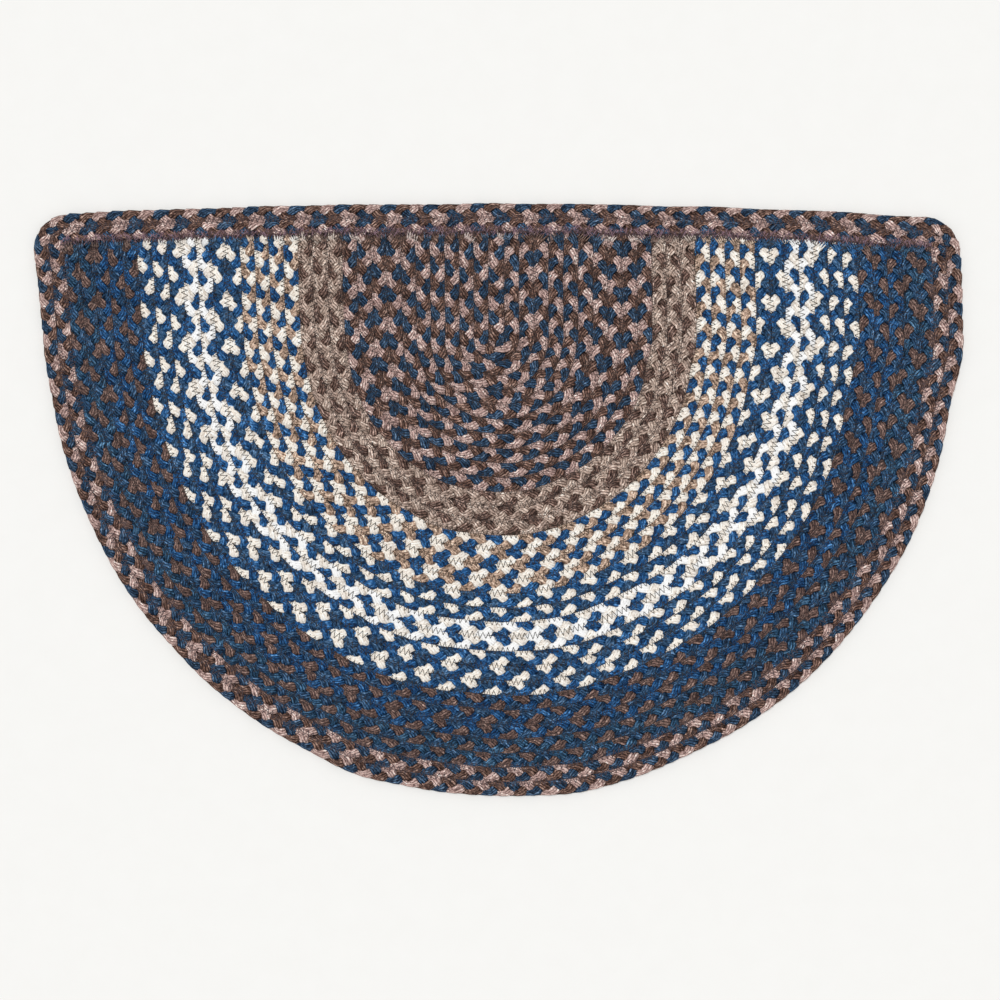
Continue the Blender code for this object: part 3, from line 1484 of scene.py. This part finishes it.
@dataclass(frozen=True)
class JuteFinish:
    """Dyed jute: three strands, each of twisted yarns with paler fibres, with painted shade in the
    grooves between the yarns, along the lines of their twist and in the low hollows among the strands.

    Attributes:
        slot: Name of the material.
        dyes: The dye of each strand.
        groove_painted_shade: How dark the painted shade in the grooves between the yarns is, 0 to 1.
        yarns: Yarns round a strand.
        yarn_step: How differently the heather falls on each strand's yarns.
        heather: Yarns of lighter and darker colour.
        slubs: Thick and thin places of a yarn.
        fibres: Bundles of fibres.
        specks: Single fibres.
        patches: Long stretches of a strand that took the dye well or badly.
        fibre_weights: How much bundles, specks and heather each do to show other fibres.
        fleck_from: Where in that mix paler fibres start to show, and where they show fully.
        deep_from: The same for darker fibres.
        deep_share: How much darker fibres cover at most.
        frayed_flecks: How much more of the paler fibres the frayed ends show.
        lift: How much brighter an uneven dye is on the whole, in doublings.
        twist_per_cm: Turns of the yarns in a centimetre.
        twist_wander: How far a thick place moves them.
        twist_painted_shade: How dark the painted shade along the lines between them is, over that in the
            grooves.
        groove_wander: How much the painted shade of the grooves varies with the yarn and its slubs.
        groove_sharpness: How narrow the painted shade in a groove is.
        least_painted_shade: Share of the painted shade that a perfectly even dye still has.
        painted_shade_heights: Heights between which the painted shade of the low hollows among the
            strands fades out.
        painted_hollow_shade: How dark that painted shade is at the lower one.
        bump: Strength of its relief.
        bump_depth: How deep that is.
        fibre_relief: How far bundles of fibres stand out of it.
        speck_relief: How far single fibres do.
        twist_relief: How deep the lines of the twist are.
        groove_relief: How deep the grooves are.
        groove_relief_sharpness: How narrow their bottom is.
        roughness: Its roughness.
        roughness_spread: How much that varies with the single fibres.
        gloss: How strongly it reflects, 0.5 for a plain surface.
    """

    slot: str
    dyes: tuple[Dye, Dye, Dye]
    groove_painted_shade: float = 0.80
    yarns: int = StrandSection().yarns
    yarn_step: float = 11.3
    heather: Grain = Grain(0.9, 3.7, 5.1, 3.0, 0.6, 3.4)
    slubs: Grain = Grain(2.6, 1.1, 6.7, 2.0, 0.55, 3.6)
    fibres: Grain = Grain(3.2, 2.0, 9.7, 2.0, 0.6, 2.8)
    specks: Grain = Grain(5.8, 1.5, 4.3, 2.0, 0.6, 3.4)
    patches: Grain = Grain(0.35, 8.0, 3.0, 1.0, 0.5, 1.2)
    fibre_weights: tuple[float, float, float] = (0.7, 0.6, 0.5)
    fleck_from: tuple[float, float] = (0.02, 0.17)
    deep_from: tuple[float, float] = (0.01, 0.16)
    deep_share: float = 0.85
    frayed_flecks: float = 0.5
    lift: float = 0.1
    twist_per_cm: float = 5.5
    twist_wander: float = 1.5
    twist_painted_shade: float = 0.35
    groove_wander: float = 0.9
    groove_sharpness: float = 2.0
    least_painted_shade: float = 0.2
    painted_shade_heights: tuple[float, float] = (0.0034, 0.0064)
    painted_hollow_shade: float = 0.55
    bump: float = 0.6
    bump_depth: float = 0.0005
    fibre_relief: float = 1.6
    speck_relief: float = 1.2
    twist_relief: float = 0.4
    groove_relief: float = 0.9
    groove_relief_sharpness: float = 3.0
    roughness: float = 0.62
    roughness_spread: float = 0.4
    gloss: float = 0.12

    def build(self) -> bpy.types.Material:
        """Makes the material.

        Returns:
            The new material, named as its slot.
        """
        bench = Bench(self.slot)
        place = bench.node("ShaderNodeUVMap", {"uv_map": "Yarn"}).out("UV")
        parts = bench.node("ShaderNodeSeparateXYZ", None, {0: place})
        along, around = parts.out("X"), parts.out("Y") * self.yarns
        strand = bench.node("ShaderNodeAttribute", {"attribute_name": "strand"}).out("Fac")
        yarn = around.one("FLOOR") + strand * self.yarn_step

        heather = self.heather.at(bench, along, yarn, strand)
        slubs, fibres, specks = (
            grain.at(bench, along, around, strand) for grain in (self.slubs, self.fibres, self.specks)
        )
        patches = self.patches.at(bench, along, strand, 1.0)
        groove = around.ridges()
        twist = (along * self.twist_per_cm + around + slubs * self.twist_wander).ridges()

        uneven = self._of_strand(strand, [dye.unevenness for dye in self.dyes])
        octaves = (slubs * self.slubs.octaves + heather * self.heather.octaves
                   + fibres * self.fibres.octaves + specks * self.specks.octaves
                   + patches * self.patches.octaves)
        tone = 2.0 ** (octaves * uneven + uneven * self.lift)
        # Painted shade: grooves, twist lines and low hollows are darkened in the colour itself, less on
        # an even dye.
        painted_shade_share = uneven * (1.0 - self.least_painted_shade) + self.least_painted_shade
        # Painted shade in the grooves between the yarns, varied by the heather and the slubs.
        groove_painted_shade = self.groove_painted_shade + heather * self.groove_wander + slubs * self.groove_wander
        painted_groove_dimming = 1.0 - (groove**self.groove_sharpness) * groove_painted_shade * painted_shade_share
        # Painted shade along the lines of the yarns' twist.
        painted_groove_dimming = painted_groove_dimming * (1.0 - twist * twist * (self.groove_painted_shade * self.twist_painted_shade) * painted_shade_share)
        # Random tone, times the painted shade of the grooves, of the twist and of the low hollows among
        # the strands.
        light = tone * painted_groove_dimming * (1.0 - self._painted_shade_depth(bench) * painted_shade_share * self.painted_hollow_shade)
        of_fibres, of_specks, of_heather = self.fibre_weights
        blend = fibres * of_fibres + specks * of_specks + heather * of_heather
        colour = bench.scaled(self._dyed(bench, strand, blend), light)
        limits = {"operation": "MINIMUM"}, {0: colour, 1: (MAX_ALBEDO,) * 3}

        relief = (fibres * self.fibre_relief + specks * self.speck_relief - twist * self.twist_relief
                  - (groove**self.groove_relief_sharpness) * self.groove_relief)
        bump = {"Strength": self.bump, "Distance": self.bump_depth, "Height": relief}
        return bench.surface({
            "Base Color": bench.node("ShaderNodeVectorMath", *limits).out("Vector"),
            "Roughness": self.roughness + specks * self.roughness_spread,
            "Normal": bench.node("ShaderNodeBump", None, bump).out("Normal"),
            "Specular IOR Level": self.gloss,
        })

    def _dyed(self, bench: Bench, strand: Wire, blend: Wire) -> Wire:
        """Colour of the dyed fibres, with paler and darker ones among them.

        Args:
            bench: The material's bench.
            strand: Number of the strand, with the frayed mark on its loose ends.
            blend: How pale or dark the fibre is, about 0.

        Returns:
            The colour.
        """
        second, third = strand > 0.5, strand > 1.5
        base, pale, deep = (
            bench.mix(third, bench.mix(second, colours[0], colours[1]), colours[2])
            for colours in (
                [dye.shade.opaque() for dye in self.dyes],
                [dye.flecks.opaque() for dye in self.dyes],
                [dye.deep.opaque() for dye in self.dyes],
            )
        )
        frayed = strand.one("FRACT") > FRAYED_MARK / 2
        fleck_share = self._of_strand(strand, [dye.fleck_share for dye in self.dyes])
        fleck = self._eased(bench, blend, self.fleck_from) * fleck_share
        murk = self._eased(bench, 0.0 - blend, self.deep_from) * self.deep_share
        return bench.mix(murk, bench.mix(fleck + frayed * self.frayed_flecks, base, pale), deep)

    def _painted_shade_depth(self, bench: Bench) -> Wire:
        """How deep a place lies among the strands, for the painted shade of the low hollows: 1 at the
        bottom and 0 on top.

        Args:
            bench: The material's bench.

        Returns:
            The depth.
        """
        place = bench.node("ShaderNodeTexCoord").out("Object")
        height = bench.node("ShaderNodeSeparateXYZ", None, {0: place}).out("Z")
        # 1 low down among the strands, where painted shade darkens the colour.
        return 1.0 - self._eased(bench, height, self.painted_shade_heights)

    @staticmethod
    def _of_strand(strand: Wire, values: list[float]) -> Wire:
        """The value that belongs to each of the three strands.

        Args:
            strand: Number of the strand, with or without the frayed mark.
            values: The three values.

        Returns:
            The strand's own value.
        """
        first, second, third = values
        return first + (strand > 0.5) * (second - first) + (strand > 1.5) * (third - second)

    @staticmethod
    def _eased(bench: Bench, value: Wire, ends: tuple[float, float]) -> Wire:
        """A value eased from 0 at the low end to 1 at the high end.

        Args:
            bench: The material's bench.
            value: The value.
            ends: Its low end and its high end.

        Returns:
            The eased value.
        """
        settings = {"interpolation_type": "SMOOTHSTEP"}
        sockets = {"Value": value, "From Min": ends[0], "From Max": ends[1]}
        return bench.node("ShaderNodeMapRange", settings, sockets).out("Result")


@dataclass(frozen=True)
class ThreadFinish:
    """Sewing thread, a little lighter where it is worn; some stitches can be of another colour.

    Attributes:
        name: Name of the material.
        shade: Its colour.
        worn: Its colour where it is worn.
        other: Colour of the other stitches, if there are any.
        other_share: Share of those.
        wear: Pattern of the wear.
        ply: Pattern of the thread's own fibres.
        bump: Strength of their relief.
        bump_depth: How deep that is.
        roughness: Its least roughness.
        roughness_spread: How much more it is.
        gloss: How strongly it reflects, 0.5 for a plain surface.
    """

    name: str
    shade: Colour
    worn: Colour
    other: Colour | None = None
    other_share: float = 0.45
    wear: Mottle = Mottle(240.0, 3.0, 0.6)
    ply: Mottle = Mottle(1800.0, 2.0, 0.5)
    bump: float = 0.5
    bump_depth: float = 0.0002
    roughness: float = 0.6
    roughness_spread: float = 0.3
    gloss: float = 0.35

    def build(self) -> bpy.types.Material:
        """Makes the material.

        Returns:
            The new material.
        """
        bench = Bench(self.name)
        place = bench.node("ShaderNodeTexCoord").out("Object")
        colour = bench.mix(bench.noise(place, self.wear), self.shade.opaque(), self.worn.opaque())
        if self.other is not None:
            stitch = bench.node("ShaderNodeAttribute", {"attribute_name": "strand"}).out("Fac")
            colour = bench.mix(stitch > 1.0 - self.other_share, colour, self.other.opaque())
        ply = bench.noise(place, self.ply)
        bump = {"Strength": self.bump, "Distance": self.bump_depth, "Height": ply}
        return bench.surface({
            "Base Color": colour,
            "Roughness": self.roughness + ply * self.roughness_spread,
            "Normal": bench.node("ShaderNodeBump", None, bump).out("Normal"),
            "Specular IOR Level": self.gloss,
        })


BROWN_THREAD = ThreadFinish("brown_thread", Colour.screen(46, 40, 34), Colour.screen(66, 57, 48))
BLACK_THREAD = ThreadFinish("black_thread", Colour.screen(40, 36, 37), Colour.screen(64, 57, 57))
DUSK_THREAD = ThreadFinish("dusk_thread", Colour.screen(60, 51, 54), Colour.screen(92, 78, 82))
PLUM_THREAD = ThreadFinish("plum_thread", Colour.screen(112, 84, 97), Colour.screen(158, 130, 140),
                           Colour.screen(92, 70, 68))


@dataclass(frozen=True)
class FloorFinish:
    """Plain pale floor with a faint mottle between two tones.

    Attributes:
        name: Name of the material.
        light: Its paler tone.
        dark: Its darker tone.
        mottle: Pattern of the two.
        roughness: Its least roughness.
        roughness_spread: How much more it is.
        gloss: How strongly it reflects, 0.5 for a plain surface.
    """

    name: str = "pale_floor"
    light: Colour = Colour(0.845, 0.841, 0.823)
    dark: Colour = Colour(0.818, 0.812, 0.791)
    mottle: Mottle = Mottle(45.0, 4.0, 0.6)
    roughness: float = 0.9
    roughness_spread: float = 0.05
    gloss: float = 0.1

    def build(self) -> bpy.types.Material:
        """Makes the material.

        Returns:
            The new material.
        """
        bench = Bench(self.name)
        mottle = bench.noise(bench.node("ShaderNodeTexCoord").out("Object"), self.mottle)
        return bench.surface({
            "Base Color": bench.mix(mottle, self.dark.opaque(), self.light.opaque()),
            "Roughness": self.roughness + mottle * self.roughness_spread,
            "Specular IOR Level": self.gloss,
        })


# ------------------------------------------------------------------ the mat


@dataclass(frozen=True)
class ColourZone:
    """Rows that are braided from the same three strands.

    Attributes:
        last_row: The outermost row in it; 0 is the middle braid, 30 and 31 the edge braids.
        finish: The jute.
    """

    last_row: int
    finish: JuteFinish


@dataclass(frozen=True)
class Winding:
    """How the pattern of each row lies against its inner neighbour's, from a row outwards.

    Attributes:
        first_row: The row that it starts at.
        phase: That row's place in the pattern at the bottom of its turn, in braid periods.
        step: How much further on the next row is.
        growth: How much that step itself grows with each row.
        leg_gain: Periods that the row gains between the bottom and its right leg.
        leg_gain_step: How much more of them the next row gains.
    """

    first_row: int
    phase: float
    step: float
    growth: float = 0.0
    leg_gain: float = 0.0
    leg_gain_step: float = 0.0

    def at(self, row: int) -> float:
        """Phase of a row in this winding."""
        count = row - self.first_row
        return self.phase + self.step * count + self.growth * count * (count - 1) / 2

    def gained(self, row: int) -> dict[Place, float]:
        """Periods that a row has gained at its places."""
        gain = self.leg_gain + self.leg_gain_step * (row - self.first_row)
        return {Place.BOTTOM: 0.0, Place.RIGHT_LEG: gain}


CREAM_AND_NAVY = JuteFinish("jute_cream", (CREAM, NAVY, BLUE), groove_painted_shade=0.4)


@dataclass
class Doormat:
    """The whole mat: middle braid, rows, edge braids and sewing.

    Attributes:
        outline: Its seams.
        waviness: Its slow waves.
        flat_width: Width of a braid's three strands laid flat side by side.
        light_seams: The seams that are sewn with the lighter thread.
        zones: Its colours, from the middle outwards.
        windings: How the rows' patterns lie against each other.
        edge_gains: Periods that each edge braid has gained at its places.
        middle_period: Length of one full turn of the middle braid.
        middle_first_diamond: How far past the lowest point of that braid its pattern starts.
        first_seed: Seed of its unevenness; each next braid has the next number.
        finishes: Materials of the jute, by slot, as they are made.
        pieces: Every piece, as they are made.
        origin: Where the centre of the turns lies.
        middle_height: Height of the middle of the braids.
    """

    outline: MatOutline = MatOutline()
    waviness: Waviness = Waviness()
    flat_width: float = 0.0234
    light_seams: range = range(13, 25)
    zones: tuple[ColourZone, ...] = (
        ColourZone(10, JuteFinish("jute_dusty_pink", (PINK, SLATE_BLUE, BROWN), groove_painted_shade=1.0)),
        ColourZone(13, JuteFinish("jute_taupe", (PALE_TAUPE, TAUPE, DARK_TAUPE), groove_painted_shade=1.0)),
        ColourZone(17, JuteFinish("jute_cream_and_blue", (CREAM, TAN, BLUE), groove_painted_shade=0.45)),
        ColourZone(19, CREAM_AND_NAVY),
        ColourZone(21, JuteFinish("jute_white", (WHITE, BLUE, OFF_WHITE), groove_painted_shade=0.4)),
        ColourZone(24, CREAM_AND_NAVY),
        ColourZone(27, JuteFinish("jute_bright_blue", (COCOA, NAVY, BLUE))),
        ColourZone(29, JuteFinish("jute_navy", (COCOA, NAVY, TEAL_NAVY))),
        ColourZone(31, JuteFinish("jute_edge", (PINK, BROWN, SLATE_BLUE), groove_painted_shade=1.0)),
    )
    windings: tuple[Winding, ...] = (
        Winding(1, 0.65, -0.28, 0.0, -0.20, 0.15),
        Winding(3, 0.73, 0.48, 0.0, 0.30, 0.15),
        Winding(5, 0.70, 0.0, 0.0, 0.45),
        Winding(6, 0.50, -0.10, 0.10, -0.40, 0.11),
        Winding(11, 0.67, 0.42, 0.19, 0.25, -0.03),
        Winding(14, 0.84, 0.42, 0.0, 0.15, -0.02),
        Winding(18, 0.60, -0.02),
        Winding(20, 0.82, 0.53),
        Winding(22, 0.14, 0.41),
        Winding(25, 0.07, -0.19, 0.61),
        Winding(28, 0.38, -0.15),
        Winding(30, 0.94, 0.27),
    )
    edge_gains: tuple[dict[Place, float], ...] = (
        {Place.BOTTOM: 0.0, Place.RIGHT_CORNER: 0.0, Place.TOP_RIGHT: 0.37, Place.TOP_LEFT: 0.74},
        {Place.BOTTOM: 0.0, Place.RIGHT_CORNER: 0.0, Place.TOP_RIGHT: 0.0, Place.TOP_LEFT: 0.60},
    )
    middle_period: float = 0.0350
    middle_first_diamond: float = 0.0586
    first_seed: int = 500
    finishes: dict[str, bpy.types.Material] = field(default_factory=dict)
    pieces: list[bpy.types.Object] = field(default_factory=list)
    origin: np.ndarray = field(init=False)
    middle_height: float = field(init=False)

    def __post_init__(self) -> None:
        """Places the centre of the turns, so that the mat fills the frame's box."""
        low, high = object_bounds()
        middle = np.array([(low.x + high.x) / 2, (low.y + high.y) / 2])
        self.origin = middle - self.outline.middle_of_box()
        self.middle_height = (low.z + high.z) / 2

    def zone(self, row: int) -> ColourZone:
        """The zone that a row lies in."""
        return next(zone for zone in self.zones if row <= zone.last_row)

    def winding(self, row: int) -> Winding:
        """The winding that a row belongs to."""
        return [winding for winding in self.windings if winding.first_row <= row][-1]

    def jute(self, row: int) -> bpy.types.Material:
        """Material of a row, made once for each zone.

        Args:
            row: Number of the row.

        Returns:
            Its jute.
        """
        finish = self.zone(row).finish
        if finish.slot not in self.finishes:
            self.finishes[finish.slot] = finish.build()
        return self.finishes[finish.slot]

    def braids(self) -> list[tuple[int, str, Braid]]:
        """Designs the braid of every lane, from the middle outwards.

        Returns:
            Row number, frame node and braid of each.
        """
        outline = self.outline
        middle_phase = self.middle_first_diamond / self.middle_period
        made = [self._braid(0, "middle", outline.middle_lane(), middle_phase, period=self.middle_period)]
        for row in range(1, outline.row_count + 1):
            winding = self.winding(row)
            made.append(self._braid(row, f"row_{row:02d}", outline.row_lane(row), winding.at(row),
                                    gained=winding.gained(row)))
        for level, side in enumerate(("inner", "outer")):
            row = outline.row_count + 1 + level
            made.append(self._braid(row, f"edge_{side}", outline.edge_lane(level),
                                    self.winding(row).at(row), gained=self.edge_gains[level]))
        return made

    def _braid(self, row: int, label: str, lane: Lane, phase: float,
               **own: float | dict[Place, float]) -> tuple[int, str, Braid]:
        """Designs one braid.

        Args:
            row: Number of its row.
            label: End of its name and of its node's name.
            lane: The strip that it fills.
            phase: Place in the pattern at the bottom of its turn, in periods.
            **own: Other sizes in which it differs.

        Returns:
            Row number, frame node and braid.
        """
        braid = Braid(f"braided_{label}", lane, phase, self.first_seed + row,
                      self.middle_height, self.origin, **own)
        return row, f"braid_{label}", braid

    def build(self) -> None:
        """Makes every piece and ties it to the frame."""
        for row, node, braid in self.braids():
            piece = braid.build(self.jute(row))
            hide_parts(node)
            self.zone(row).finish.slot
            self.pieces.append(piece)
        sewing = self._sewing(list(self.pieces))
        self.pieces.extend(sewing)
        for piece in self.pieces:
            self._make_wavy(piece)
            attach(piece, "root")
            log.info("%s: %d faces", piece.name, len(piece.data.polygons))

    def _sewing(self, braids: list[bpy.types.Object]) -> list[bpy.types.Object]:
        """Makes the stitches between the braids and over the severed ends.

        Args:
            braids: The braids that they lie on.

        Returns:
            The four new pieces.
        """
        surface = Surface.over(braids, self.middle_height)
        brown, black, dusk, plum = (
            thread.build() for thread in (BROWN_THREAD, BLACK_THREAD, DUSK_THREAD, PLUM_THREAD)
        )
        light = Stitching("light_seam_stitches", seed=11)
        dark = Stitching("dark_seam_stitches", seed=13, radius=0.00022)
        for seam in range(self.outline.row_count):
            sewn = light if seam in self.light_seams else dark
            sewn.sew(self.outline.row_seam(seam), self.origin, surface)
        outer = Stitching("edge_stitches", seed=12, radius=0.00028)
        for level in range(self.outline.edge_count):
            outer.sew(self.outline.edge_seam(level), self.origin, surface)
        binding = EndBinding(self.outline).build(plum, self.origin, surface)
        return [light.build(brown), dark.build(black), outer.build(dusk), binding]

    def _make_wavy(self, piece: bpy.types.Object) -> None:
        """Moves a piece's points with the mat's slow waves.

        Args:
            piece: The piece.
        """
        count = len(piece.data.vertices)
        flat = np.empty(count * 3, np.float32)
        piece.data.vertices.foreach_get("co", flat)
        moved = self.waviness.shift(flat.reshape(-1, 3).astype(float))
        piece.data.vertices.foreach_set("co", moved.astype(np.float32).ravel())
        piece.data.update()


# ------------------------------------------------------------------ the studio


@dataclass
class Studio:
    """Floor, soft light and a camera that looks straight down.

    Attributes:
        view_width: Width of what the camera shows at the top of the mat.
        lens: Its focal length, in millimetres as the next one.
        sensor: Width of its sensor.
        clip_end: How far it sees.
        camera_aside: How far right of the middle it hangs.
        floor_size: Length of the floor's sides.
        sky: Strength of the even light of the room.
        sun: Strength of the key light.
        sun_width_deg: How wide it is as the mat sees it, which makes its shadows soft.
        sun_tilt_deg: How far it leans from straight above, about X and about Y.
        sun_height: Height at which its symbol stands.
    """

    view_width: float = 0.793
    lens: float = 100.0
    sensor: float = 36.0
    clip_end: float = 50.0
    camera_aside: float = 0.0010
    floor_size: float = 16.0
    sky: float = 0.435
    sun: float = 2.21
    sun_width_deg: float = 16.0
    sun_tilt_deg: tuple[float, float] = (-7.0, -5.0)
    sun_height: float = 3.0

    def build(self, mat_top: float) -> None:
        """Sets up the whole studio.

        Args:
            mat_top: Height of the mat, where the view is to be as wide as wanted.
        """
        bpy.ops.object.select_all(action="DESELECT")
        self._floor()
        self._lights()
        self._camera(mat_top)

    def _floor(self) -> None:
        """Lays the plain pale floor."""
        bpy.ops.mesh.primitive_plane_add(size=self.floor_size, location=(0, 0, 0))
        floor = bpy.context.object
        floor.name = "floor"
        floor.data.materials.append(FloorFinish().build())
        floor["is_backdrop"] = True

    def _lights(self) -> None:
        """Lights the mat from almost straight above, in an evenly lit room."""
        world = bpy.data.worlds.new("studio")
        world.use_nodes = True
        background = world.node_tree.nodes["Background"]
        background.inputs["Strength"].default_value = self.sky
        background.inputs["Color"].default_value = (1.0, 1.0, 1.0, 1.0)
        bpy.context.scene.world = world
        tilt = tuple(math.radians(angle) for angle in self.sun_tilt_deg)
        bpy.ops.object.light_add(type="SUN", location=(0, 0, self.sun_height), rotation=(*tilt, 0.0))
        key = bpy.context.object
        key.name = "key_light"
        key.data.energy = self.sun
        key.data.angle = math.radians(self.sun_width_deg)

    def _camera(self, mat_top: float) -> None:
        """Hangs the camera over the middle of the mat.

        Args:
            mat_top: Height of the mat, where the view is to be as wide as wanted.
        """
        height = mat_top + self.view_width * self.lens / self.sensor
        bpy.ops.object.camera_add(location=(self.camera_aside, 0, height), rotation=(0, 0, 0))
        camera = bpy.context.object
        camera.data.lens = self.lens
        camera.data.sensor_width = self.sensor
        camera.data.clip_end = self.clip_end
        bpy.context.scene.camera = camera


def main() -> None:
    """Builds the mat around its frame, and the studio."""
    logging.basicConfig(level=logging.INFO, format="%(name)s: %(message)s")
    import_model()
    cad_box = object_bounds()
    bpy.context.scene.view_settings.view_transform = "Standard"
    mat = Doormat()
    mat.build()
    Studio().build(cad_box[1].z)


if __name__ == "__main__":
    main()
